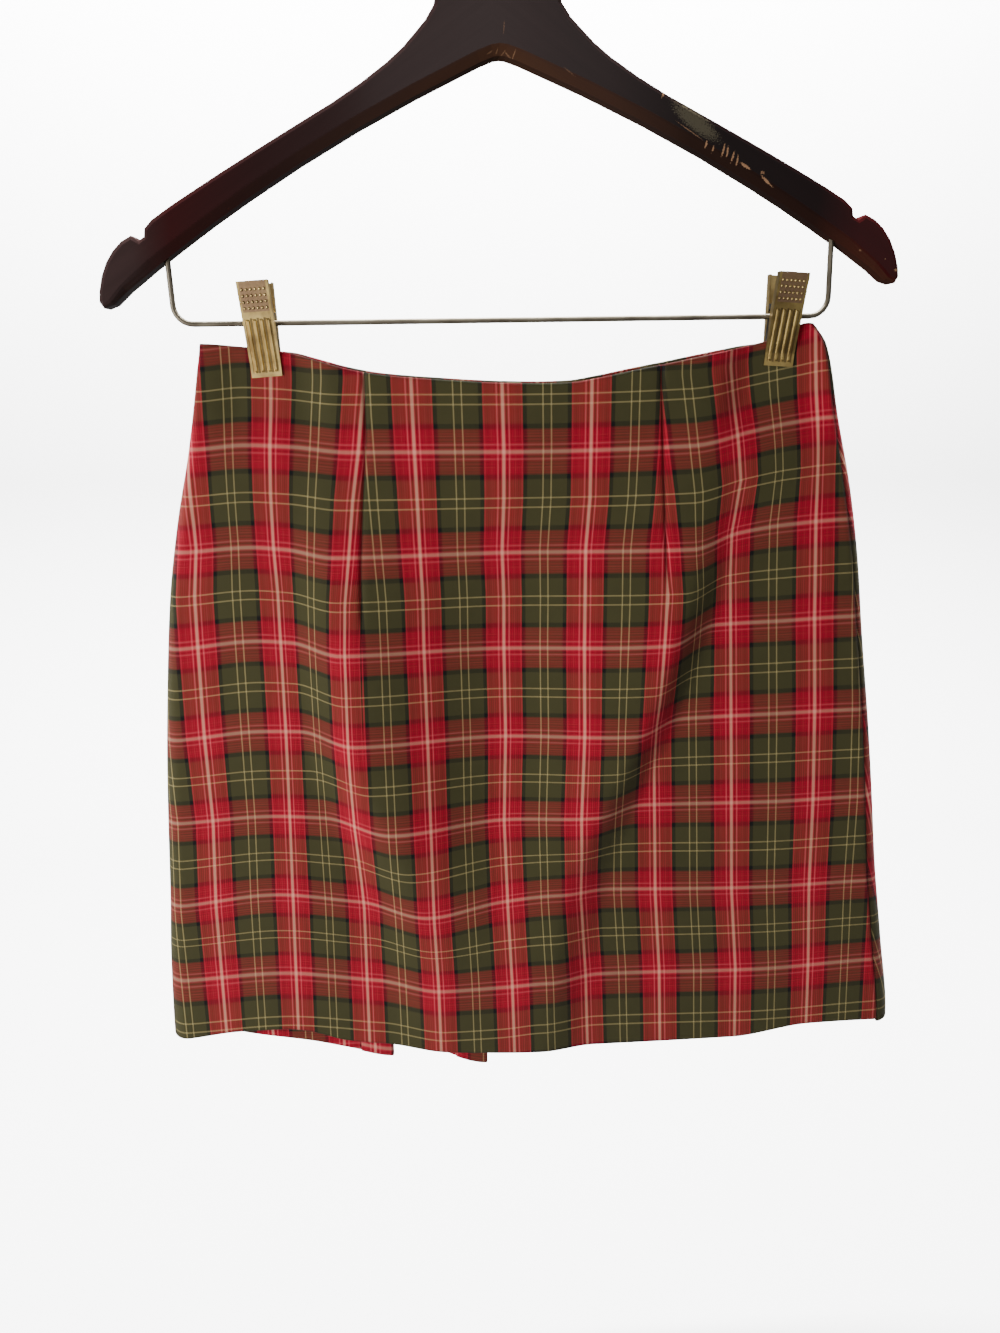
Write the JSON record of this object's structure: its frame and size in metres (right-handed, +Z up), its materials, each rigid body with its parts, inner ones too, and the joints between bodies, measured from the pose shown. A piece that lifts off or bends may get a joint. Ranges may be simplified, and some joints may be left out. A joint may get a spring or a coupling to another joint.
{
  "type": "tartan mini skirt on trouser hanger",
  "caption": "Darted A-line mini skirt in red and olive tartan with kick pleats, clipped by its waist to a dark wooden hanger with a wire rod and sprung brass clips.",
  "frame": {"origin": "the point under the top of the hook's loop where it hangs on a rail", "axes": "+Z up; the skirt's front faces -Y; +X to the right as seen from the front"},
  "size_m": [0.4797, 0.0491, 0.7275],
  "materials": {
    "tartan_wool": "fine twill, woven check",
    "zip_tape_olive": "woven tape",
    "dark_stained_wood": "dark mahogany stain under gloss varnish, chipped at the lower edge",
    "nickel_wire": "dull nickel plate",
    "brass_clip": "worn brass plate",
    "dark_spring_steel": "blackened steel"
  },
  "bodies": {
    "skirt": {"front_panel": "tartan_wool", "back_right_panel": "tartan_wool", "back_middle_panel": "tartan_wool", "back_left_panel": "tartan_wool", "zip_tape": "zip_tape_olive", "zip_slider": "dark_spring_steel", "hanger_body": "dark_stained_wood", "hanger_hook": "nickel_wire", "clip_rod": "nickel_wire", "left_clip_front_plate": "brass_clip", "left_clip_back_plate": "brass_clip", "left_clip_spring": "dark_spring_steel", "right_clip_front_plate": "brass_clip", "right_clip_back_plate": "brass_clip", "right_clip_spring": "dark_spring_steel"},
    "pull_tab": {"zip_pull_tab": "dark_spring_steel"}
  },
  "joints": [
    {"name": "pull_tab_hinge", "type": "hinge", "parent": "skirt", "child": "pull_tab", "pos_m": [0.00582, 0.01408, -0.27661], "axis": [1, 0, 0], "range_deg": [0, 165]}
  ]
}
